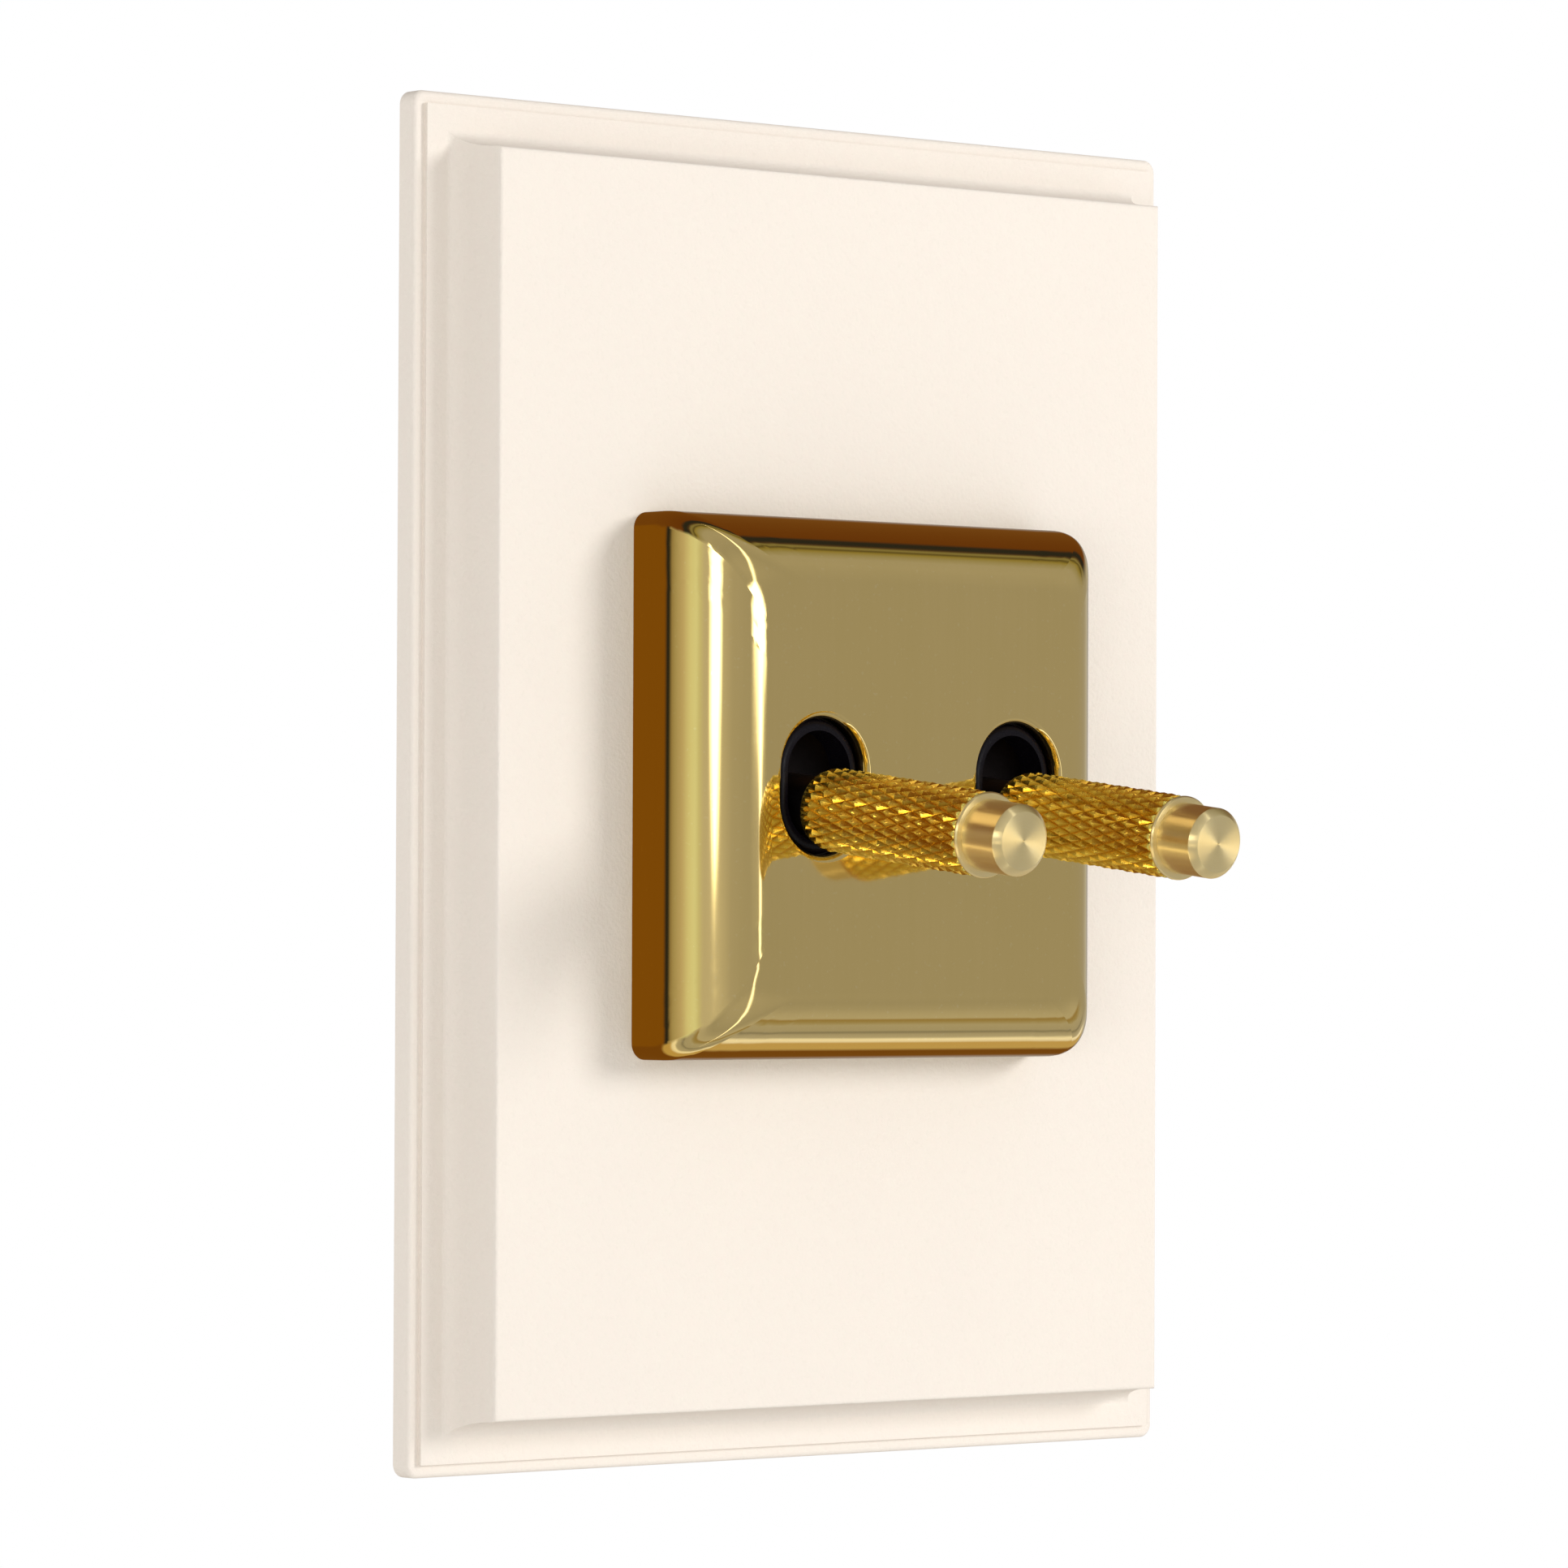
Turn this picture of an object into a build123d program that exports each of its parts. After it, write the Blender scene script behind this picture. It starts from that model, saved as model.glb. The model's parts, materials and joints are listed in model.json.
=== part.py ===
"""Two-gang toggle wall switch.

Millimetres, +Z up. The wall is the plane y = 0 and the switch faces -Y. The origin is the
middle of the mounting yoke's back face. Each gang is drawn once about x = 0 and moved to its
side. A toggle is drawn level about its own pivot and then tipped down to its off position.
"""

import os
from math import cos, radians, sin

from build123d import *

os.makedirs("parts", exist_ok=True)

# Wall plate
PLATE_W = 88.0
PLATE_H = 120.0
LIP_DEPTH = 2.0
LIP_W = 1.15
STEP_RISE = 0.45
PANEL_INSET = 5.0
PANEL_FRONT = 7.8
COVE_RUN = 1.7
PLATE_CORNER_R = 1.2
ROOF = 2.0
CAVITY_INSET = 8.0

# Polished cover block
COVER_W = 48.0
COVER_WALL = 2.5
OVOLO_INSET = 6.5
OVOLO_DEPTH = 8.7
COVER_CORNER_R = 1.5
FLAT_CORNER_R = 4.5
OVOLO_SECTIONS = 10
COVER_SKIN = 1.6
SLOT_RIM_R = 0.7
COVER_CAVITY_W = 37.0
COVER_FRONT = PANEL_FRONT + COVER_WALL + OVOLO_DEPTH
BOSS_XZ = 16.2
BOSS_R = 2.7

# Gangs and slots
GANG_X = 11.4
SLOT_W = 9.4
SLOT_H = 12.0
LINER_GAP = 0.05
LINER_WALL = 1.05
LINER_RECESS = 0.85
LINER_LENGTH = 2.75
LINER_FLANGE = 1.2

# Toggle: distances run forward from the pivot
PIVOT_DEPTH = 3.1
TILT = 6.8
PIN_R = 1.25
RUNNING_GAP = 0.05
HUB_R = 3.4
HUB_W = 9.0
NECK_R = 2.6
GRIP_START = 16.6
GRIP_R = 3.72
CAP_START = 37.5
CAP_R = 3.1
TIP = 42.0
SPIGOT_R = 1.8
ARM_LENGTH = 10.0
ARM_W = 5.2
PLUNGER_R = 1.65
PLUNGER_REACH = 12.4
SHIELD_R = 11.6
SHIELD_SKIN = 0.8
SHIELD_W = 8.8
SHIELD_CUT = 5.8

# Yoke and fixings
YOKE_W = 64.0
YOKE_H = 96.0
YOKE_T = 1.2
BOX_SCREW_Z = 41.75
BOX_SCREW_R = 1.75
BOX_NECK_R = 1.4
BOX_NECK_END = 0.8
SLOT_LENGTH = 7.0
SLOT_R = 1.9
CLIP_X = 22.0
CLIP_T = 0.5

# Switch units
UNIT_W = 20.0
UNIT_H = 26.0
UNIT_BACK = 22.5
FLOOR = 1.5
WALL = 1.5
FLANGE_W = 22.4
FLANGE_H = 28.4
FLANGE_T = 1.3
EAR_W = 4.4
EAR_TOP = 19.0
EAR_SCREW_Z = 16.8
LID_T = 1.2
DOME_W = 15.6
DOME_H = 17.0
DOME_FRONT = 7.7
ROCKER_Y = 10.5
ROCKER_TILT = -10.2
CONTACT_Z = 8.2
TERMINAL_BACK = UNIT_BACK - FLOOR
TERMINAL_DEPTH = 5.2
TERMINAL_HALF = 2.6
TERMINAL_PORT_X = 3.0
WIRE_R = 1.6
CLAMP_R = 1.2


def block(x0, x1, y0, y1, z0, z1):
    """Box between two corners."""
    middle = Pos((x0 + x1) / 2, (y0 + y1) / 2, (z0 + z1) / 2)
    return middle * Box(x1 - x0, y1 - y0, z1 - z0)


def rod_x(radius, x0, x1, y=0.0, z=0.0):
    """Cylinder along X."""
    return Pos((x0 + x1) / 2, y, z) * Rot(0, 90, 0) * Cylinder(radius, x1 - x0)


def rod_y(radius, y0, y1, x=0.0, z=0.0):
    """Cylinder along Y."""
    return Pos(x, (y0 + y1) / 2, z) * Rot(90, 0, 0) * Cylinder(radius, y1 - y0)


def slab(width, height, radius, y0, y1, x=0.0, z=0.0):
    """Plate parallel to the wall with rounded corners."""
    outline = Pos(x, z) * RectangleRounded(width, height, radius)
    return extrude(Plane.XZ.offset(-y1) * outline, amount=y1 - y0)


def stadium(width, height, y0, y1):
    """Upright slot shape with round ends."""
    outline = Rot(0, 0, 90) * SlotOverall(height, width)
    return extrude(Plane.XZ.offset(-y1) * outline, amount=y1 - y0)


def half_section(points, curve):
    """Right half of a moulding's section, depth upwards, closed by a curve and mirrored."""
    half = make_face(Wire(Polyline(*points).edges() + curve.edges()))
    return half + mirror(half, about=Plane.YZ)


def mitred(section_of, width, height):
    """Moulding that runs round a rectangle, its corners mitred."""
    upright = Plane(origin=(0, 0, 0), x_dir=(1, 0, 0), z_dir=(0, 0, -1))
    level = Plane(origin=(0, 0, 0), x_dir=(0, 0, 1), z_dir=(1, 0, 0))
    sides = extrude(upright * section_of(width / 2), amount=height, both=True)
    ends = extrude(level * section_of(height / 2), amount=width, both=True)
    return sides & ends


def corner_edges(shape, half_w, half_h):
    """Edges along Y at the four outer corners."""
    return [
        e
        for e in shape.edges().filter_by(Axis.Y)
        if abs(abs(e.center().X) - half_w) < 0.01 and abs(abs(e.center().Z) - half_h) < 0.01
    ]


def rim_edges(shape, y, half_w, half_h, reach):
    """Edges in the plane y that run round a rectangle, corners included."""
    return [
        e
        for e in shape.edges()
        if abs(e.bounding_box().min.Y - y) < 0.01
        and abs(e.bounding_box().max.Y - y) < 0.01
        and (abs(abs(e.center().X) - half_w) < reach or abs(abs(e.center().Z) - half_h) < reach)
    ]


def plate_section(half):
    """Lip, small step, flat field and hollow cove up to the raised panel."""
    step = half - LIP_W
    panel = half - PANEL_INSET
    field = LIP_DEPTH + STEP_RISE
    cove = EllipticalCenterArc(
        (panel + COVE_RUN, PANEL_FRONT), COVE_RUN, PANEL_FRONT - field, start_angle=180, arc_size=90
    )
    points = [
        (panel, PANEL_FRONT),
        (0, PANEL_FRONT),
        (0, 0),
        (half, 0),
        (half, LIP_DEPTH),
        (step, LIP_DEPTH),
        (step, field),
        (panel + COVE_RUN, field),
    ]
    return half_section(points, cove)


def wall_plate():
    """Stepped plate, hollow behind, with a window for the two switch units."""
    half_w = PLATE_W / 2
    half_h = PLATE_H / 2
    plate = mitred(plate_section, PLATE_W, PLATE_H)
    plate = fillet(corner_edges(plate, half_w, half_h), PLATE_CORNER_R)
    plate = fillet(rim_edges(plate, -LIP_DEPTH, half_w, half_h, 0.5), 0.5)
    panel_w = half_w - PANEL_INSET
    panel_h = half_h - PANEL_INSET
    plate = fillet(rim_edges(plate, -PANEL_FRONT, panel_w, panel_h, 0.1), 0.35)
    cavity_w = PLATE_W - 2 * CAVITY_INSET
    cavity_h = PLATE_H - 2 * CAVITY_INSET
    plate -= slab(cavity_w, cavity_h, 2.0, ROOF - PANEL_FRONT, 0)
    window_w = 2 * GANG_X + DOME_W + 2.0
    plate -= slab(window_w, DOME_H + 1.4, 1.5, -PANEL_FRONT - 1, 1)
    for x in (-BOSS_XZ, BOSS_XZ):
        for z in (-BOSS_XZ, BOSS_XZ):
            plate -= rod_y(1.4, -PANEL_FRONT - 1, 0, x, z)
    for x in (-CLIP_X, CLIP_X):
        for side in (-1, 1):
            edge = cavity_h / 2
            low, high = sorted((side * (edge - 0.7), side * (edge + 0.2)))
            plate += block(x - 4, x + 4, -2.6, -1.8, low, high)
    return plate


def cover_section(turn):
    """Rounded square round the pillow edge, from the wall at 0 to the flat front at 90."""
    inset = 1 - cos(radians(turn))
    half = COVER_W / 2 - OVOLO_INSET * inset
    corner_r = COVER_CORNER_R + (FLAT_CORNER_R - COVER_CORNER_R) * inset**2
    depth = PANEL_FRONT + COVER_WALL + OVOLO_DEPTH * sin(radians(turn))
    plane = Plane(origin=(0, -depth, 0), x_dir=(1, 0, 0), z_dir=(0, -1, 0))
    return plane * RectangleRounded(2 * half, 2 * half, corner_r)


def brass_face_plate():
    """Hollow block with pillow edges, two slots and four screw bosses."""
    step = 90 / OVOLO_SECTIONS
    pillow = loft([cover_section(step * i) for i in range(OVOLO_SECTIONS + 1)])
    wall_top = PANEL_FRONT + COVER_WALL
    cover = pillow + slab(COVER_W, COVER_W, COVER_CORNER_R, -wall_top, -PANEL_FRONT)
    cover -= slab(COVER_CAVITY_W, COVER_CAVITY_W, 1.5, COVER_SKIN - COVER_FRONT, -PANEL_FRONT)
    for x in (-BOSS_XZ, BOSS_XZ):
        for z in (-BOSS_XZ, BOSS_XZ):
            cover += rod_y(BOSS_R, COVER_SKIN - COVER_FRONT - 0.2, -PANEL_FRONT, x, z)
            cover -= rod_y(1.3, -14.4, -PANEL_FRONT, x, z)
    for x in (-GANG_X, GANG_X):
        cover -= Pos(x, 0, 0) * stadium(SLOT_W, SLOT_H, -COVER_FRONT - 1, -PANEL_FRONT - 5)
    slot_rims = [
        e
        for e in cover.edges()
        if abs(e.center().Y + COVER_FRONT) < 0.01
        and abs(abs(e.center().X) - GANG_X) < 5
        and abs(e.center().Z) < 7
    ]
    return fillet(slot_rims, SLOT_RIM_R)


def cross_recess(y, x=0.0, z=0.0, size=2.4, depth=0.6, front=True):
    """Crossed driver slots in a screw head whose face is at y."""
    y0, y1 = (y, y + depth) if front else (y - depth, y)
    half = size / 2
    cross = block(x - half, x + half, y0, y1, z - 0.3, z + 0.3)
    return cross + block(x - 0.3, x + 0.3, y0, y1, z - half, z + half)


def cover_screw():
    """Screw from inside the wall plate into a boss of the cover."""
    seat = ROOF - PANEL_FRONT
    screw = rod_y(1.25, seat - 8, seat) + rod_y(2.4, seat, seat + 1.6)
    return screw - cross_recess(seat + 1.6, front=False)


def cover_screws():
    places = [(x, z) for x in (-BOSS_XZ, BOSS_XZ) for z in (-BOSS_XZ, BOSS_XZ)]
    return Compound([Pos(x, 0, z) * cover_screw() for x, z in places])


def slot_liner():
    """Black collar with a rounded lip, seated behind the cover's front skin."""
    front = LINER_RECESS - COVER_FRONT
    width = SLOT_W - 2 * LINER_GAP
    height = SLOT_H - 2 * LINER_GAP
    liner = stadium(width, height, front, front + LINER_LENGTH)
    rim = [e for e in liner.edges() if abs(e.center().Y - front) < 0.01]
    liner = fillet(rim, 0.8)
    seat = COVER_SKIN - COVER_FRONT
    liner += stadium(width + 3.1, height + 3.1, seat, seat + LINER_FLANGE)
    bore_w = width - 2 * LINER_WALL
    bore_h = height - 2 * LINER_WALL
    return liner - stadium(bore_w, bore_h, front - 1, front + LINER_LENGTH + 1)


def mounting_yoke():
    """Steel frame with two unit windows, two screw slots and stiffening flanges."""
    yoke = slab(YOKE_W, YOKE_H, 4.0, -YOKE_T, 0)
    for x in (-GANG_X, GANG_X):
        yoke -= slab(UNIT_W + 0.2, UNIT_H + 0.2, 1.0, -YOKE_T - 1, 1, x)
        for z in (-EAR_SCREW_Z, EAR_SCREW_Z):
            yoke -= rod_y(1.25, -YOKE_T - 1, 1, x, z)
    for z in (-BOX_SCREW_Z, BOX_SCREW_Z):
        outline = Pos(0, z) * SlotOverall(SLOT_LENGTH, 2 * SLOT_R)
        yoke -= extrude(Plane.XZ.offset(-1) * outline, amount=YOKE_T + 2)
    half = YOKE_W / 2
    for x0, x1 in ((-half, 1 - half), (half - 1, half)):
        yoke += block(x0, x1, -YOKE_T - 2.2, -YOKE_T, -38, 38)
    return yoke


def box_fixing_screw(z):
    """Long screw through the yoke's slot into the wall box, with a neck under its head."""
    screw = rod_y(BOX_NECK_R, -YOKE_T, BOX_NECK_END, 0, z)
    screw += rod_y(BOX_SCREW_R, BOX_NECK_END, 19, 0, z)
    screw += rod_y(3.3, -YOKE_T - 2.0, -YOKE_T, 0, z)
    tip = Pos(0, 19.75, z) * Rot(-90, 0, 0) * Cone(BOX_SCREW_R, 1.0, 1.5)
    return screw + tip - cross_recess(-YOKE_T - 2.0, 0, z, 3.4, 1.0)


def box_fixing_screws():
    return Compound([box_fixing_screw(z) for z in (-BOX_SCREW_Z, BOX_SCREW_Z)])


def plate_clip():
    """Folded spring leaf at the yoke's top edge whose tip hooks over the plate's bead."""
    pad_y = -YOKE_T - CLIP_T / 2
    route = Polyline((pad_y, 42), (pad_y, 47.6), (-5.2, 49.6), (-3.3, 51.4))
    return extrude(Plane.YZ * trace(route, CLIP_T), amount=3, both=True)


def plate_clips():
    lower = mirror(plate_clip(), about=Plane.XY)
    pairs = [Pos(x, 0, 0) * leaf for x in (-CLIP_X, CLIP_X) for leaf in (plate_clip(), lower)]
    return Compound([leaf.solids()[0] for leaf in pairs])


def earth_terminal():
    """Small brass block on the yoke with a wire hole and a clamp screw hole."""
    body = block(-27, -21, -YOKE_T - 3, -YOKE_T, -32, -24)
    body -= Pos(-22.4, -2.7, -28) * Cylinder(1.0, 10)
    return body - rod_y(1.25, -4.3, -1.7, -25, -28)


def earth_screw():
    screw = rod_y(1.2, -4.2, -1.8, -25, -28) + rod_y(1.9, -5.4, -4.2, -25, -28)
    return screw - cross_recess(-5.4, -25, -28, 2.2, 0.5)


def terminal_places():
    return (-CONTACT_Z, 0.0, CONTACT_Z)


def switch_body():
    """Moulded housing behind the yoke, open in front, with ports in its floor."""
    front = -YOKE_T - FLANGE_T
    body = slab(UNIT_W, UNIT_H, 1.0, front, UNIT_BACK)
    body += slab(FLANGE_W, FLANGE_H, 1.0, front, -YOKE_T)
    body += slab(EAR_W, 2 * EAR_TOP, 1.5, front, -YOKE_T)
    for z in (-EAR_SCREW_Z, EAR_SCREW_Z):
        body -= rod_y(1.35, front - 1, 0, 0, z)
    back_rim = [e for e in body.edges() if abs(e.center().Y - UNIT_BACK) < 0.01]
    body = fillet(back_rim, 0.6)
    body -= block(-UNIT_W / 2 + WALL, UNIT_W / 2 - WALL, front - 1, TERMINAL_BACK, -11.6, 11.6)
    for z in terminal_places():
        body -= rod_y(WIRE_R + 0.2, TERMINAL_BACK - 1, UNIT_BACK + 1, -TERMINAL_PORT_X, z)
        body -= rod_y(2.5, TERMINAL_BACK - 1, UNIT_BACK + 1, TERMINAL_PORT_X, z)
    return body


def unit_screws():
    """Short screws through a unit's two ears into the yoke."""
    seat = -YOKE_T - FLANGE_T
    screws = []
    for z in (-EAR_SCREW_Z, EAR_SCREW_Z):
        screw = rod_y(1.2, seat, -0.1, 0, z) + rod_y(1.9, seat - 1.3, seat, 0, z)
        screws.append(screw - cross_recess(seat - 1.3, 0, z, 2.2, 0.6))
    return Compound(screws)


def switch_top():
    """Lid of the housing: a flat rim, a raised dome with the lever's opening, and cheeks."""
    seat = -YOKE_T - FLANGE_T
    lid = slab(FLANGE_W, FLANGE_H, 1.0, seat - LID_T, seat)
    lid += slab(DOME_W, DOME_H, 1.5, -DOME_FRONT, seat - LID_T)
    lid -= block(-5.6, 5.6, -DOME_FRONT + 0.9, seat + 1, -7.0, 7.0)
    for x0, x1 in ((-7.8, -5.6), (5.6, 7.8)):
        lid += block(x0, x1, seat - 0.5, 0.8, -3.6, 3.6)
    lid -= slab(6.4, 8.8, 1.5, -DOME_FRONT - 1, -DOME_FRONT + 2)
    return lid - rod_x(PIN_R + 0.02, -9, 9, -PIVOT_DEPTH)


def pivot_pin():
    return rod_x(PIN_R, -7.7, 7.7, -PIVOT_DEPTH)


def terminal_block(z):
    """Brass block with a wire port and a clamp screw hole, open to the back."""
    front = TERMINAL_BACK - TERMINAL_DEPTH
    body = block(-6, 6, front, TERMINAL_BACK, z - TERMINAL_HALF, z + TERMINAL_HALF)
    body -= rod_y(WIRE_R, front + 0.5, TERMINAL_BACK, -TERMINAL_PORT_X, z)
    return body - rod_y(CLAMP_R + 0.05, front + 0.5, TERMINAL_BACK, TERMINAL_PORT_X, z)


def common_terminal():
    """Centre terminal with the cradle that the rocker turns in."""
    body = terminal_block(0.0)
    front = TERMINAL_BACK - TERMINAL_DEPTH
    for x0, x1 in ((-5.4, -4.2), (4.2, 5.4)):
        body += block(x0, x1, ROCKER_Y - 1.7, front, -1.7, 1.7)
    return body - rod_x(0.95, -6, 6, ROCKER_Y)


def contact_terminal(z):
    """Outer terminal with its fixed contact."""
    front = TERMINAL_BACK - TERMINAL_DEPTH
    return terminal_block(z) + rod_y(1.6, 13.75, front, 0, z)


def terminal_screws():
    screws = []
    for z in terminal_places():
        head = rod_y(2.2, TERMINAL_BACK, UNIT_BACK - 0.2, TERMINAL_PORT_X, z)
        shank = rod_y(CLAMP_R, TERMINAL_BACK - 4, TERMINAL_BACK, TERMINAL_PORT_X, z)
        recess = cross_recess(UNIT_BACK - 0.2, TERMINAL_PORT_X, z, 2.8, 0.7, front=False)
        screws.append(head + shank - recess)
    return Compound(screws)


def contact_rocker():
    """Rocking contact plate on its trunnion, drawn level and then tipped."""
    rocker = block(-3.5, 3.5, -0.6, 0.6, -9.2, 9.2) + rod_x(0.9, -5.4, 5.4)
    for z in (-CONTACT_Z, CONTACT_Z):
        rocker += rod_y(1.5, 0.6, 1.3, 0, z)
    return Pos(0, ROCKER_Y, 0) * Rot(ROCKER_TILT, 0, 0) * rocker


def tipped(shape):
    """Place a level toggle piece on its pivot, tip down."""
    return Pos(0, -PIVOT_DEPTH, 0) * Rot(TILT, 0, 0) * shape


def toggle_lever():
    """Hub, neck, spigot for the grip, and the tail that holds the plunger."""
    lever = rod_x(HUB_R, -HUB_W / 2, HUB_W / 2)
    lever += rod_y(NECK_R, -GRIP_START, 0)
    lever += rod_y(SPIGOT_R, -CAP_START, -GRIP_START)
    lever += rod_y(1.45, -CAP_START - 3.2, -CAP_START)
    half = ARM_W / 2
    lever += block(-half, half, 0, ARM_LENGTH, -half, half)
    lever -= rod_x(PIN_R + RUNNING_GAP, -HUB_W, HUB_W)
    return tipped(lever - rod_y(PLUNGER_R + 0.1, 3.9, ARM_LENGTH + 1))


def knurled_grip():
    """Sleeve at the knurl's crest radius."""
    grip = rod_y(GRIP_R, -CAP_START, -GRIP_START)
    ends = [e for e in grip.edges().filter_by(GeomType.CIRCLE)]
    grip = chamfer(ends, 0.35)
    return tipped(grip - rod_y(SPIGOT_R + 0.05, -CAP_START - 1, -GRIP_START + 1))


def end_cap():
    """Plain turned tip that screws on the spigot."""
    cap = rod_y(CAP_R, -TIP, -CAP_START)
    front = [e for e in cap.edges() if abs(e.center().Y + TIP) < 0.01]
    cap = chamfer(front, 0.5)
    return tipped(cap - rod_y(1.5, -CAP_START - 3.3, -CAP_START + 1))


def dust_shield():
    """Curved shield about the pivot that closes the slot behind the liner."""
    shell = rod_x(SHIELD_R, -SHIELD_W / 2, SHIELD_W / 2)
    shell -= rod_x(SHIELD_R - SHIELD_SKIN, -SHIELD_W, SHIELD_W)
    front = -SHIELD_R + SHIELD_CUT - 3.1
    shell &= block(-SHIELD_W, SHIELD_W, -2 * SHIELD_R, front, -SHIELD_R, SHIELD_R)
    return tipped(shell - rod_y(NECK_R + 0.02, -SHIELD_R - 1, 0))


def plunger():
    """Round-nosed plunger in the lever's tail."""
    nose = PLUNGER_REACH - PLUNGER_R
    return tipped(rod_y(PLUNGER_R, 7.7, nose) + Pos(0, nose, 0) * Sphere(PLUNGER_R))


def plunger_spring():
    """Coil spring between the tail's bore and the plunger."""
    path = Helix(pitch=0.72, height=3.1, radius=1.25)
    wire = Plane(origin=path @ 0, z_dir=path % 0) * Circle(0.2)
    coil = sweep(wire, path=path, is_frenet=True)
    return tipped(Pos(0, 4.25, 0) * Rot(-90, 0, 0) * coil)


def save(shape, node):
    export_step(shape, f"parts/{node}.step")


for piece in (
    wall_plate,
    brass_face_plate,
    mounting_yoke,
    box_fixing_screws,
    plate_clips,
    cover_screws,
    earth_terminal,
    earth_screw,
):
    save(piece(), piece.__name__)

for side, gang_x in (("left", -GANG_X), ("right", GANG_X)):
    place = Pos(gang_x, 0, 0)
    for piece in (
        slot_liner,
        switch_body,
        unit_screws,
        switch_top,
        pivot_pin,
        common_terminal,
        terminal_screws,
        contact_rocker,
        toggle_lever,
        knurled_grip,
        end_cap,
        dust_shield,
        plunger,
        plunger_spring,
    ):
        save(place * piece(), f"{piece.__name__}_{side}")
    save(place * contact_terminal(CONTACT_Z), f"upper_terminal_{side}")
    save(place * contact_terminal(-CONTACT_Z), f"lower_terminal_{side}")
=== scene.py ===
import json
import math

import bpy
from mathutils import Matrix, Vector


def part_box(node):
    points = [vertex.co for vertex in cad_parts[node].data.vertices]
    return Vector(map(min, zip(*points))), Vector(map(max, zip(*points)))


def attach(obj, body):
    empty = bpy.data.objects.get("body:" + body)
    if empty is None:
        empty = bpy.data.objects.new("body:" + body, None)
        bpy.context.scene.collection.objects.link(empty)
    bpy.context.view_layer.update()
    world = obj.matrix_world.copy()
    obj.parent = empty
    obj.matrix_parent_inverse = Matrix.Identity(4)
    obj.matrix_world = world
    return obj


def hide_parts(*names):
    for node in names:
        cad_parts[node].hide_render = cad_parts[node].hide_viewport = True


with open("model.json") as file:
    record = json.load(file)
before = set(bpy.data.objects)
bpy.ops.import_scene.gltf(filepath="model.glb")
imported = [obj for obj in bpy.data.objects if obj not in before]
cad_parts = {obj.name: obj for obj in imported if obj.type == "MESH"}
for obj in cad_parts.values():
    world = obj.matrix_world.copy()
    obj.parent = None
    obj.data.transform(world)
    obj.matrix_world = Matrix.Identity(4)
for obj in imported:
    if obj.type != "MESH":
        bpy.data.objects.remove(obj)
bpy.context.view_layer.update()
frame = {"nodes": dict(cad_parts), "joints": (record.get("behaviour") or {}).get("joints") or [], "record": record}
nodes = frame["nodes"]
record = frame["record"]
SIDES = ("left", "right")


# ---------------------------------------------------------------- node helpers
class Nodes:
    """Adds shader nodes to a tree, one call at a time."""

    def __init__(self, tree):
        self.tree = tree

    def fill(self, node, inputs):
        """Link each input that is given as a socket, and set the others as constants."""
        for key, value in inputs.items():
            if isinstance(value, bpy.types.NodeSocket):
                self.tree.links.new(value, node.inputs[key])
            else:
                node.inputs[key].default_value = value

    def add(self, kind, inputs=None, **settings):
        node = self.tree.nodes.new(kind)
        for key, value in settings.items():
            setattr(node, key, value)
        self.fill(node, inputs or {})
        return node

    def math(self, operation, a, b=0.0, c=0.0):
        return self.add("ShaderNodeMath", {0: a, 1: b, 2: c}, operation=operation).outputs[0]

    def mix(self, factor, a, b):
        """Colour a where factor is 0 and b where it is 1."""
        return self.add("ShaderNodeMix", {0: factor, 6: a, 7: b}, data_type="RGBA").outputs[2]


class Material(Nodes):
    """A principled material, in the object's own coordinates."""

    def __init__(self, name, **sockets):
        self.mat = bpy.data.materials.new(name)
        self.mat.use_nodes = True
        super().__init__(self.mat.node_tree)
        self.shader = self.tree.nodes["Principled BSDF"]
        self.place = self.add("ShaderNodeTexCoord").outputs["Object"]
        for key, value in sockets.items():
            self.set(key, value)

    def set(self, key, value):
        self.fill(self.shader, {key.replace("_", " "): value})

    def stretch(self, scale):
        """Coordinates in cells of 1 / scale metres, each axis on its own."""
        inputs = {"Vector": self.place, "Scale": scale}
        return self.add("ShaderNodeMapping", inputs, vector_type="POINT").outputs[0]

    def noise(self, scale, detail=2.0, rough=0.5, vector=None):
        """Noise of about 0 to 1. scale is in cells per metre."""
        inputs = {
            "Vector": vector or self.place,
            "Scale": scale,
            "Detail": detail,
            "Roughness": rough,
        }
        return self.add("ShaderNodeTexNoise", inputs).outputs[0]

    def span(self, value, low, high, start=0.3, stop=0.7):
        """Value from start..stop moved to low..high and held there."""
        inputs = {0: value, 1: start, 2: stop, 3: low, 4: high}
        return self.add("ShaderNodeMapRange", inputs).outputs[0]

    def bump(self, *layers):
        """Bump layers as (height socket, depth in metres)."""
        normal = None
        for height, depth in layers:
            inputs = {"Height": height, "Distance": depth, "Strength": 1.0}
            if normal:
                inputs["Normal"] = normal
            normal = self.add("ShaderNodeBump", inputs).outputs[0]
        self.set("Normal", normal)


def rgb(*channels):
    return (*channels, 1.0)


# ---------------------------------------------------------------- materials
def ivory_paint():
    """Matt cream paint with a fine grain, faint clouds and specks."""
    m = Material("ivory_paint", Specular_IOR_Level=0.3)
    grain = m.noise(2600, 3.0, 0.6)
    cloud = m.noise(45, 3.0, 0.55)
    speck = m.noise(900, 1.0)
    base = m.mix(m.span(cloud, 0.0, 1.0), rgb(0.885, 0.815, 0.735), rgb(0.9, 0.83, 0.745))
    base = m.mix(m.span(speck, 0.0, 0.35), base, rgb(0.9, 0.8, 0.73))
    base = m.mix(m.span(grain, 0.16, 0.0, 0.25, 0.45), base, rgb(0.74, 0.7, 0.6))
    m.set("Base_Color", base)
    m.set("Roughness", m.span(grain, 0.5, 0.68))
    m.bump((grain, 0.00006), (m.noise(700, 2.0), 0.00005))
    return m.mat


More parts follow.
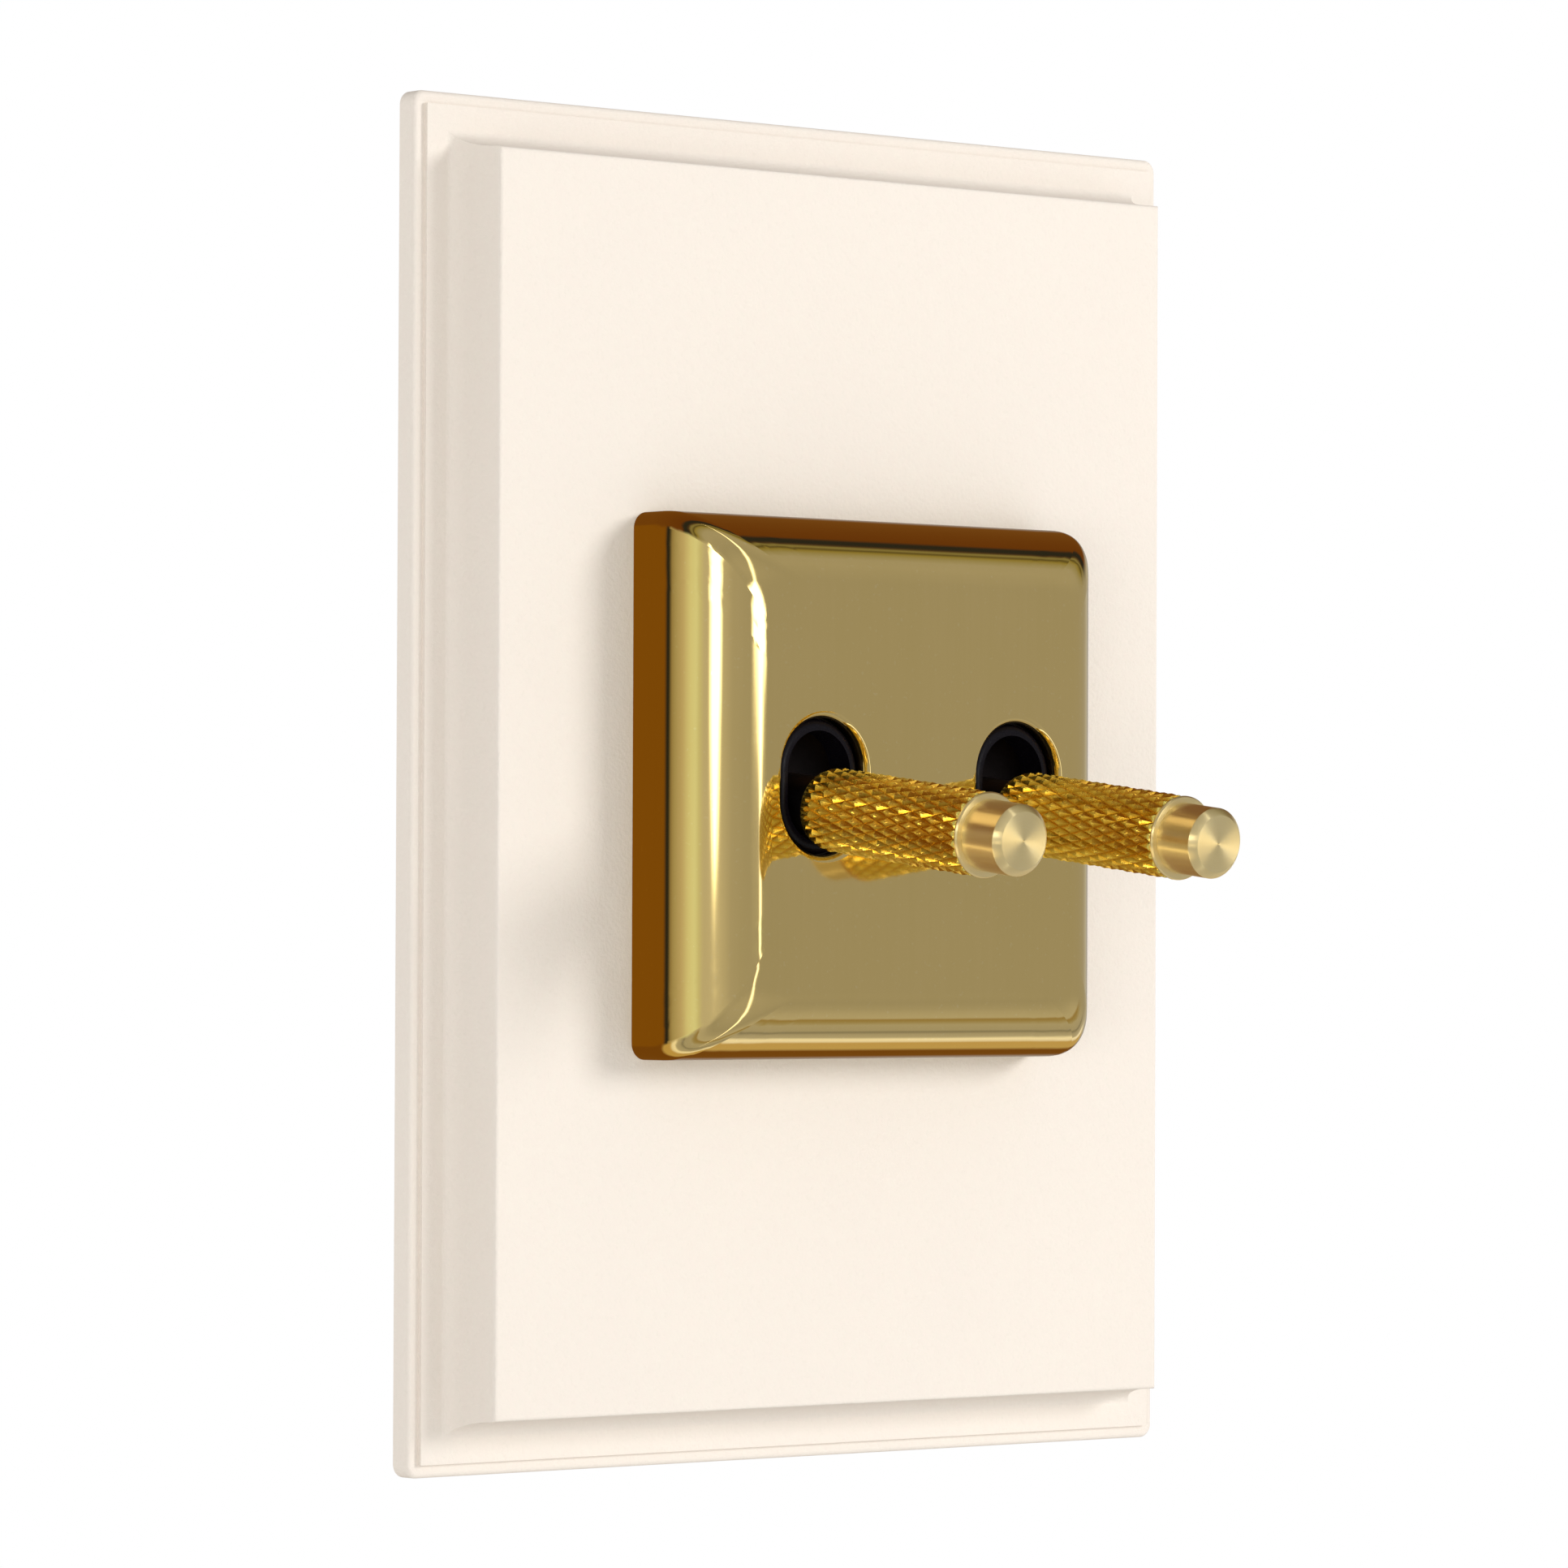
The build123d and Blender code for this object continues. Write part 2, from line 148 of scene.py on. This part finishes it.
def polished_brass():
    """Mirror polish. Its roughness is nearly even, so that highlights keep clean edges."""
    m = Material("polished_brass", Metallic=1.0)
    haze = m.noise(60, 3.0, 0.6)
    streak = m.noise(1.0, 3.0, 0.6, m.stretch((1500, 1500, 45)))
    fleck = m.noise(2600, 2.0)
    base = m.mix(m.span(haze, 0.0, 1.0), rgb(0.79, 0.595, 0.235), rgb(0.81, 0.61, 0.25))
    base = m.mix(m.span(streak, 0.0, 0.2), base, rgb(0.74, 0.56, 0.2))
    base = m.mix(m.span(fleck, 0.0, 0.25, 0.66, 0.74), base, rgb(0.9, 0.76, 0.45))
    m.set("Base_Color", base)
    m.set("Roughness", m.span(haze, 0.05, 0.058))
    m.bump((streak, 0.00000015))
    return m.mat


def knurled_brass():
    """Knurled brass with painted shade: the sleeve's own groove attribute colours the grooves darker and leaves
    the crests bright.
    """
    m = Material("knurled_brass", Metallic=1.0)
    depth = m.add("ShaderNodeAttribute", attribute_name="groove").outputs["Fac"]
    rub = m.noise(500, 3.0, 0.6)
    base = m.mix(m.span(rub, 0.0, 1.0), rgb(1.0, 0.77, 0.16), rgb(1.0, 0.84, 0.22))
    # Painted shade: the colour darkens towards the bottom of each groove, by its depth.
    base = m.mix(m.span(depth, 0.0, 1.0, 0.15, 1.0), base, rgb(0.72, 0.42, 0.03))
    m.set("Base_Color", base)
    m.set("Roughness", m.span(m.noise(1800, 2.0), 0.19, 0.29))
    m.bump((m.noise(5000, 2.0), 0.0000015))
    return m.mat


TOOL_MARKS_PER_METRE = 9000.0


def turned_brass():
    """Lathe-turned brass: its marks and its sheen run round local Z."""
    m = Material("turned_brass", Metallic=1.0, Anisotropic=0.85, Anisotropic_Rotation=0.25)
    x, y, z = m.add("ShaderNodeSeparateXYZ", {0: m.place}).outputs
    radius = m.math("SQRT", m.math("ADD", m.math("MULTIPLY", x, x), m.math("MULTIPLY", y, y)))
    cells = m.math("MULTIPLY", m.math("ADD", radius, z), TOOL_MARKS_PER_METRE)
    marks = m.noise(1.0, 3.0, 0.6, m.add("ShaderNodeCombineXYZ", {0: cells}).outputs[0])
    haze = m.noise(350, 3.0, 0.6)
    base = m.mix(m.span(marks, 0.0, 1.0), rgb(0.95, 0.77, 0.39), rgb(0.97, 0.81, 0.45))
    base = m.mix(m.span(haze, 0.0, 0.3), base, rgb(0.93, 0.73, 0.32))
    m.set("Base_Color", base)
    m.set("Roughness", m.span(marks, 0.3, 0.36))
    around = m.add("ShaderNodeTangent", direction_type="RADIAL", axis="Z").outputs[0]
    m.set("Tangent", around)
    m.bump((marks, 0.00000006))
    return m.mat


def moulded(name, colour, grain, roughness, depth=0.00002, level=0.5):
    """Moulded plastic with spark-eroded grain and slight flow marks."""
    m = Material(name, Specular_IOR_Level=level)
    fine = m.noise(grain, 3.0, 0.6)
    flow = m.noise(1.0, 2.0, 0.5, m.stretch((160, 160, 40)))
    dark = rgb(*[c * 0.78 for c in colour])
    light = rgb(*[min(1, c * 1.18) for c in colour])
    base = m.mix(m.span(flow, 0.0, 1.0), dark, light)
    base = m.mix(m.span(fine, 0.0, 0.3, 0.5, 0.8), base, rgb(*[min(1, c * 1.6) for c in colour]))
    m.set("Base_Color", base)
    m.set("Roughness", m.span(fine, roughness - 0.08, roughness + 0.1))
    m.bump((fine, depth))
    return m.mat


def worked_metal(name, colour, roughness, cells, dull, depth=0.000006):
    """Rolled or plated metal with fine lines, cloudy plating and dull patches."""
    m = Material(name, Metallic=1.0)
    cloud = m.noise(cells, 4.0, 0.6)
    lines = m.noise(1.0, 2.0, 0.6, m.stretch((3500, 3500, 160)))
    patch = m.noise(cells * 0.35, 2.0)
    dark = rgb(*[c * 0.86 for c in colour])
    base = m.mix(m.span(cloud, 0.0, 1.0), dark, rgb(*colour))
    base = m.mix(m.span(patch, 0.0, 0.7, 0.52, 0.72), base, rgb(*dull))
    m.set("Base_Color", base)
    rough = m.span(cloud, roughness - 0.06, roughness + 0.08)
    m.set("Roughness", m.math("MULTIPLY_ADD", m.span(patch, 0.0, 1.0), 0.12, rough))
    m.bump((lines, depth), (cloud, depth * 2))
    return m.mat


finishes = {
    "ivory_plate": ivory_paint(),
    "polished_brass": polished_brass(),
    "knurled_brass": knurled_brass(),
    "turned_brass": turned_brass(),
    "lever_steel": worked_metal(
        "blackened_steel", (0.05, 0.045, 0.05), 0.38, 700, (0.10, 0.07, 0.05)
    ),
    "liner_black": moulded("liner_black", (0.004, 0.003, 0.005), 4200, 0.32, 0.000008, 0.14),
    "shield_black": moulded("shield_black", (0.006, 0.004, 0.004), 3600, 0.6, 0.00002, 0.12),
    "housing_grey": moulded("housing_grey", (0.085, 0.087, 0.092), 2600, 0.5),
    "lid_grey": moulded("lid_grey", (0.13, 0.132, 0.138), 2600, 0.46),
    "yoke_steel": worked_metal(
        "zinc_plated_sheet", (0.66, 0.67, 0.67), 0.34, 380, (0.5, 0.51, 0.5), 0.00001
    ),
    "screw_steel": worked_metal(
        "zinc_plated_screw", (0.7, 0.7, 0.68), 0.28, 900, (0.5, 0.5, 0.46)
    ),
    "spring_steel": worked_metal(
        "tempered_spring", (0.42, 0.43, 0.46), 0.3, 800, (0.25, 0.22, 0.2)
    ),
    "terminal_brass": worked_metal(
        "machined_brass", (0.78, 0.6, 0.28), 0.3, 800, (0.52, 0.36, 0.14)
    ),
    "contact_brass": worked_metal(
        "stamped_brass", (0.82, 0.62, 0.36), 0.26, 700, (0.6, 0.42, 0.22)
    ),
    "plunger_plastic": moulded("plunger_plastic", (0.78, 0.77, 0.72), 2400, 0.32, 0.000008),
}
for part in record["subparts"]:
    mesh = nodes[part["node"]].data
    mesh.materials.clear()
    mesh.materials.append(finishes[part["material_slot"]])

# The brass block's edges mirror only the studio: the pieces behind it don't show in gloss.
MIRRORED = ("brass_face_plate", "slot_liner_left", "slot_liner_right")
behind = bpy.data.collections.new("behind_brass")
for name in record["behaviour"]["bodies"]["switch_frame"]:
    nodes[name].visible_glossy = name in MIRRORED
    if name not in MIRRORED:
        behind.objects.link(nodes[name])


# ---------------------------------------------------------------- toggles
TILT = math.radians(6.8)    # below level at rest
CORE_R = 0.00185            # bore of the sleeve, on the lever's spigot
KNURL_TEETH = 25            # diamonds round the sleeve
KNURL_PITCH = 0.0029        # length of a diamond
KNURL_STEPS = 4             # lattice steps from a crest to the next groove
KNURL_DEPTH = 0.00028
CREST_SHARE = 0.1           # part of the slope that counts as crest
SLEEVE_CHAMFER = 0.00035
KNURL_RUN_IN = 0.35         # depth of the knurl at the sleeve's start, as a share
SLEEVE_END = 0.0002         # from the last knurled row to the sleeve's front face
SLEEVE_END_STEP = 0.0003
COLLAR = 0.0005             # plain ring between the knurl and the cap
COLLAR_R_GAP = 0.00002      # the ring is this much lower than the knurl's crests
COLLAR_CHAMFER = 0.0002
CAP_BORE_R = 0.00195
CAP_CHAMFER = 0.0006
CAP_SIDES = 96
SHARP_ANGLE = math.radians(25)

toggles = bpy.data.collections.new("toggles")


def lever_frame(side):
    """Local +Z runs out along the toggle from its pivot, local X along the hinge."""
    joint = next(j for j in frame["joints"] if j["name"] == f"{side}_toggle_tilt")
    out = Vector((0, -math.cos(TILT), -math.sin(TILT)))
    x = Vector((1, 0, 0))
    y = out.cross(x)
    turn = Matrix((x, y, out)).transposed().to_4x4()
    return Matrix.Translation(Vector(joint["pos_m"])) @ turn


def reach(node, matrix):
    """Nearest and farthest a node lies along the toggle, and its radius."""
    inverse = matrix.inverted()
    local = [inverse @ v.co for v in nodes[node].data.vertices]
    along = [p.z for p in local]
    return min(along), max(along), max(math.hypot(p.x, p.y) for p in local)


def add_piece(name, verts, faces, matrix, finish, smooth):
    mesh = bpy.data.meshes.new(name)
    mesh.from_pydata(verts, [], faces)
    mesh.materials.append(finishes[finish])
    mesh.shade_smooth() if smooth else mesh.shade_flat()
    piece = bpy.data.objects.new(name, mesh)
    bpy.context.scene.collection.objects.link(piece)
    piece.matrix_world = matrix
    return piece


def groove(i, j):
    """0 on a crest and 1 in a groove, at lattice point i round and j along."""
    span = 2 * KNURL_STEPS
    slopes = [abs(((i + s * j) % span) / KNURL_STEPS - 1) for s in (1, -1)]
    return max(0.0, (max(slopes) - CREST_SHARE) / (1 - CREST_SHARE))


def knurled_sleeve(side):
    """Diamond-knurled sleeve. A row is (place along, radius, share of the knurl's depth)."""
    matrix = lever_frame(side)
    start, end, crest = reach(f"knurled_grip_{side}", matrix)
    around = 2 * KNURL_STEPS * KNURL_TEETH
    step = KNURL_PITCH / (2 * KNURL_STEPS)
    front = end - COLLAR
    knurl_end = front - SLEEVE_END
    rows = [(start, CORE_R, 0), (start, crest - SLEEVE_CHAMFER, 0)]
    count = int((knurl_end - start - SLEEVE_CHAMFER) / step)
    first = knurl_end - count * step
    for j in range(count + 1):
        z = first + j * step
        lead = (z - start) / (2 * SLEEVE_CHAMFER)
        rows.append((z, crest, min(1.0, lead + KNURL_RUN_IN)))
    rows.append((front, crest - SLEEVE_END_STEP, 0))
    rows.append((front, CORE_R, 0))
    verts = []
    depth = []
    for j, (z, radius, share) in enumerate(rows):
        for i in range(around):
            angle = 2 * math.pi * i / around
            cut = groove(i, j) * share
            r = radius - KNURL_DEPTH * cut
            verts.append((r * math.cos(angle), r * math.sin(angle), z))
            depth.append(cut)
    faces = []
    for j in range(len(rows)):
        upper = (j + 1) % len(rows)
        for i in range(around):
            a, b = j * around + i, j * around + (i + 1) % around
            c, d = upper * around + (i + 1) % around, upper * around + i
            if (i - j) % 2:
                faces += [(a, b, d), (b, c, d)]
            else:
                faces += [(a, b, c), (a, c, d)]
    piece = add_piece(f"knurled_sleeve_{side}", verts, faces, matrix, "knurled_brass", False)
    # The groove depth is stored for the knurled brass, which uses it to darken the grooves as painted shade.
    layer = piece.data.attributes.new("groove", "FLOAT", "POINT")
    layer.data.foreach_set("value", depth)
    toggles.objects.link(piece)
    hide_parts(f"knurled_grip_{side}")
    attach(piece, f"toggle_{side}")


def lathe(profile, around):
    """Closed ring of quads turned round local Z."""
    verts = [
        (r * math.cos(2 * math.pi * i / around), r * math.sin(2 * math.pi * i / around), z)
        for z, r in profile
        for i in range(around)
    ]
    faces = []
    for j in range(len(profile)):
        upper = (j + 1) % len(profile)
        for i in range(around):
            k = (i + 1) % around
            low, high = j * around, upper * around
            faces.append((low + i, low + k, high + k, high + i))
    return verts, faces


def turned_cap(side):
    """Collar ring and cap in one, with a drilled centre. The profile is (place along, radius)."""
    matrix = lever_frame(side)
    start, end, radius = reach(f"end_cap_{side}", matrix)
    collar = reach(f"knurled_grip_{side}", matrix)[2] - COLLAR_R_GAP
    back = start - COLLAR
    profile = [
        (back, CAP_BORE_R),
        (back, collar - 0.00022),
        (back + COLLAR_CHAMFER, collar),
        (start - 0.00018, collar),
        (start - 0.00003, collar - 0.0001),
        (start, collar - 0.0003),
        (start, radius),
        (end - CAP_CHAMFER, radius),
        (end - CAP_CHAMFER * 0.9, radius - 0.00003),
        (end - 0.00004, radius - CAP_CHAMFER * 0.9),
        (end, radius - CAP_CHAMFER),
        (end, radius * 0.55),
        (end, radius * 0.25),
        (end - 0.00002, radius * 0.04),
        (end - 0.00012, 0.00002),
        (start + 0.0035, 0.00002),
        (start + 0.0032, CAP_BORE_R),
    ]
    verts, faces = lathe(profile, CAP_SIDES)
    piece = add_piece(f"turned_cap_{side}", verts, faces, matrix, "turned_brass", True)
    piece.data.set_sharp_from_angle(angle=SHARP_ANGLE)
    toggles.objects.link(piece)
    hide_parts(f"end_cap_{side}")
    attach(piece, f"toggle_{side}")


for side in SIDES:
    knurled_sleeve(side)
    turned_cap(side)


# ---------------------------------------------------------------- studio
DUSK = (0.25, 0.105, 0.008)     # warm brown that the block's sides mirror
PEAK = 5.0                      # brightest that a ramp can hold
PANEL_FADE_OUT = 3.0            # degrees past a panel's edge where its light ends
PANEL_FADE_IN = 5.0             # degrees inside the edge where it is full
SHADE = 0.5                     # even light for diffuse shading
BAND = (0.16, 0.34)             # sine of the height where the walls give way to top and bottom


def add_world():
    """White to the camera, even and dim for shading, and a studio of panels in gloss.

    Azimuth is in degrees from -Y towards -X, and the walls are painted by azimuth. The
    top and bottom are painted by y, from -1 in front of the switch to 1 behind it.
    """
    world = bpy.data.worlds.new("studio")
    world.use_nodes = True
    world.node_tree.nodes.clear()
    n = Nodes(world.node_tree)

    def smooth(value, low, high):
        inputs = {0: value, 1: low, 2: high, 3: 0.0, 4: 1.0}
        return n.add("ShaderNodeMapRange", inputs, interpolation_type="SMOOTHSTEP").outputs[0]

    def ramp(value, stops, low, high):
        """Light by place. A stop is (place, level) or (place, colour)."""
        inputs = {0: value, 1: low, 2: high, 3: 0.0, 4: 1.0}
        share = n.add("ShaderNodeMapRange", inputs).outputs[0]
        node = n.add("ShaderNodeValToRGB", {0: share})
        points = node.color_ramp.elements
        while len(points) < len(stops):
            points.new(0.5)
        for point, (where, level) in zip(points, stops):
            colour = level if isinstance(level, tuple) else (level, level, level)
            point.position = (where - low) / (high - low)
            point.color = rgb(*[c / PEAK for c in colour])
        return node.outputs[0]

    generated = n.add("ShaderNodeTexCoord").outputs["Generated"]
    x, y, z = n.add("ShaderNodeSeparateXYZ", {0: generated}).outputs
    turn = n.math("ARCTAN2", n.math("MULTIPLY", x, -1.0), n.math("MULTIPLY", y, -1.0))
    azimuth = n.math("MULTIPLY", turn, 180 / math.pi)
    height = n.math("MULTIPLY", n.math("ARCSINE", z), 180 / math.pi)

    around = ramp(
        azimuth,
        [
            (-180, 0.7), (-166, 0.6), (-158, DUSK), (-122, 0.42), (-112, 0.55), (-96, 0.42),
            (-20, 0.42), (20, 0.45), (40, 0.48), (56, 0.62), (78, 0.62), (83, (0.7, 0.74, 0.6)),
            (88, (0.84, 0.94, 0.8)), (95, (0.8, 0.85, 0.68)), (103, (0.62, 0.57, 0.45)),
            (112, (0.46, 0.42, 0.28)), (116, (0.34, 0.28, 0.16)), (118.5, 0.02), (121, 0.03),
            (124, DUSK), (158, DUSK), (166, 0.6), (180, 0.7),
        ],
        -180, 180,
    )
    above = ramp(
        y,
        [
            (-1.0, 0.5), (-0.76, 0.42), (-0.5, 0.46), (-0.36, 0.45), (-0.26, (0.38, 0.37, 0.28)),
            (-0.18, (0.33, 0.29, 0.1)), (-0.13, (0.12, 0.1, 0.04)), (-0.08, (0.3, 0.28, 0.14)),
            (-0.02, (0.08, 0.05, 0.03)), (0.02, 0.03), (0.1, 0.03), (0.17, (0.16, 0.055, 0.01)),
            (0.88, (0.2, 0.08, 0.012)), (0.93, 0.5), (1.0, 0.7),
        ],
        -1, 1,
    )
    below = ramp(
        y,
        [
            (-1.0, 0.5), (-0.62, 0.41), (-0.5, 0.45), (-0.42, 0.5), (-0.3, 0.54),
            (-0.26, (0.36, 0.28, 0.13)), (-0.2, (0.4, 0.36, 0.24)), (-0.13, 0.48), (0.02, 0.45),
            (0.06, 0.28), (0.12, 0.46), (0.2, 0.52), (0.26, 1.1), (0.31, 0.95),
            (0.36, (0.62, 0.46, 0.2)), (0.5, (0.6, 0.45, 0.18)), (0.56, (0.2, 0.08, 0.01)),
            (0.88, (0.2, 0.08, 0.01)), (0.93, 0.5), (1.0, 0.7),
        ],
        -1, 1,
    )
    room = n.mix(smooth(z, *BAND), around, above)
    room = n.mix(smooth(z, -BAND[0], -BAND[1]), room, below)

    def panel(low, high, heights, widths, lean=0.0):
        """Bright upright panel between two azimuths.

        widths are shares of its full width at each of the heights, in degrees. Where it is
        narrower, its middle moves by lean degrees times the share that is missing.
        """
        stops = list(zip(heights, widths))
        width = n.add("ShaderNodeSeparateColor", {0: ramp(height, stops, -20, 40)}).outputs[0]
        shift = n.math("MULTIPLY", n.math("SUBTRACT", 1.0 / PEAK, width), PEAK * lean)
        middle = n.math("ADD", shift, (low + high) / 2)
        off = n.math("ABSOLUTE", n.math("SUBTRACT", azimuth, middle))
        half = n.math("MULTIPLY", width, PEAK * ((high - low) / 2 + PANEL_FADE_OUT))
        inside = n.math("SUBTRACT", n.math("SUBTRACT", half, PANEL_FADE_OUT), off)
        return smooth(inside, -PANEL_FADE_OUT, PANEL_FADE_IN)

    bright = panel(
        55.4, 71.6,
        (0.1, 0.33, 0.69, 1.27, 2.05, 2.8, 5, 22),
        (0, 0.34, 0.58, 0.78, 0.95, 1, 1, 0),
    )
    front = panel(
        -24, 7,
        (-8, 0.8, 1.3, 1.7, 1.95, 2.2, 6, 14),
        (0.22, 0.24, 0.3, 0.5, 0.8, 1, 1, 0.25),
        -5,
    )
    room = n.mix(n.math("MAXIMUM", bright, front), room, rgb(1, 1, 1))
    rays = n.add("ShaderNodeLightPath").outputs
    gloss = n.add("ShaderNodeBackground", {0: room, 1: PEAK}).outputs[0]
    shade = n.add("ShaderNodeBackground", {0: rgb(1.0, 0.99, 0.97), 1: SHADE}).outputs[0]
    white = n.add("ShaderNodeBackground", {0: rgb(1.0, 1.0, 1.0), 1: 1.0}).outputs[0]
    seen = n.add("ShaderNodeMixShader", {0: rays["Is Diffuse Ray"], 1: gloss, 2: shade}).outputs[0]
    seen = n.add("ShaderNodeMixShader", {0: rays["Is Camera Ray"], 1: seen, 2: white}).outputs[0]
    n.add("ShaderNodeOutputWorld", {0: seen})
    # Sampled as a lamp, the world would light diffuse surfaces with its gloss picture.
    world.cycles.sampling_method = "NONE"
    bpy.context.scene.world = world


def add_panel_light(name, place, size, power, target=(0, 0, 0)):
    """Soft lamp that shades the object without showing in its polish."""
    data = bpy.data.lights.new(name, "AREA")
    data.shape = "DISK"
    data.size = size
    data.energy = power
    lamp = bpy.data.objects.new(name, data)
    bpy.context.scene.collection.objects.link(lamp)
    lamp.location = place
    lamp.rotation_mode = "QUATERNION"
    lamp.rotation_quaternion = (Vector(target) - Vector(place)).to_track_quat("-Z", "Y")
    lamp.visible_glossy = False
    lamp.visible_camera = False
    return lamp


def add_toggle_glint(name, azimuth, elevation, distance, size, power, colour):
    """Small lamp for the toggles alone, which the wall plate doesn't shade."""
    turn, rise = math.radians(azimuth), math.radians(elevation)
    level = math.cos(rise)
    away = Vector((-math.sin(turn) * level, -math.cos(turn) * level, math.sin(rise)))
    tip = (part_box("end_cap_left")[0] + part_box("end_cap_right")[1]) / 2
    lamp = add_panel_light(name, tip + away * distance, size, power, tip)
    lamp.visible_glossy = True
    lamp.data.color = colour
    lamp.data.use_shadow = False
    lamp.light_linking.receiver_collection = toggles


FLOOR_RADIUS = 1.4
FLOOR_Z = -0.35


def add_floor():
    bpy.ops.mesh.primitive_circle_add(
        vertices=96, radius=FLOOR_RADIUS, fill_type="NGON", location=(0, 0, FLOOR_Z)
    )
    floor = bpy.context.object
    floor.name = "floor"
    floor.visible_glossy = False
    m = Material("floor_pale", Specular_IOR_Level=0.2, Roughness=0.7)
    tone = m.span(m.noise(6, 3.0), 0.0, 1.0)
    m.set("Base_Color", m.mix(tone, rgb(0.93, 0.925, 0.91), rgb(0.95, 0.945, 0.93)))
    floor.data.materials.append(m.mat)


CAMERA_TURN, CAMERA_RISE, CAMERA_ROLL = (math.radians(v) for v in (-40.39, -1.15, 0.23))
CAMERA_AIM = Vector((0.00001, 0, 0.00062))
CAMERA_DISTANCE = 0.6606
CAMERA_LENS = 167.83
CAMERA_SENSOR = 36.0


def add_camera():
    """Camera fitted to the wall plate's corners and the brass block's outline."""
    level = math.cos(CAMERA_RISE)
    back = Vector((
        math.sin(CAMERA_TURN) * level,
        -math.cos(CAMERA_TURN) * level,
        math.sin(CAMERA_RISE),
    ))
    side = (-back).cross(Vector((0, 0, 1))).normalized()
    up = side.cross(-back)
    x = math.cos(CAMERA_ROLL) * side + math.sin(CAMERA_ROLL) * up
    y = math.cos(CAMERA_ROLL) * up - math.sin(CAMERA_ROLL) * side
    data = bpy.data.cameras.new("camera")
    data.lens = CAMERA_LENS
    data.sensor_width = CAMERA_SENSOR
    camera = bpy.data.objects.new("camera", data)
    bpy.context.scene.collection.objects.link(camera)
    turn = Matrix((x, y, back)).transposed().to_4x4()
    camera.matrix_world = Matrix.Translation(CAMERA_AIM + back * CAMERA_DISTANCE) @ turn
    bpy.context.scene.camera = camera


REAR_X = 0.9
WARM = (1.0, 0.86, 0.6)
GOLD = (1.0, 0.8, 0.42)
GLINTS = (
    # name, azimuth, elevation, distance, size, power, colour
    ("glint_line", 126, -24, 0.5, 0.055, 0.08, GOLD),
    ("glint_below", 95, -40, 0.5, 0.25, 0.24, GOLD),
    ("glint_above", 150, 40, 0.5, 0.25, 0.24, GOLD),
    ("glint_upper", 54, 10, 0.6, 0.05, 0.06, WARM),
    ("glint_lower", 54, -14, 0.6, 0.05, 0.06, WARM),
    ("glint_left", -15, -5, 0.6, 0.14, 0.22, WARM),
    ("glint_right", -65, -5, 0.6, 0.14, 0.17, WARM),
)

add_world()
add_panel_light("key", (0.7, -0.95, 0.32), 0.4, 7.0)
add_panel_light("fill", (-0.95, -0.8, -0.25), 0.9, 6.7)
for name, x in (("rear_left", -REAR_X), ("rear_right", REAR_X)):
    rear = add_panel_light(name, (x, 1.0, 0.15), 1.3, 4.0)
    rear.visible_glossy = True
    rear.light_linking.receiver_collection = behind
for glint in GLINTS:
    add_toggle_glint(*glint)
add_floor()
add_camera()
bpy.context.scene.view_settings.view_transform = "Standard"
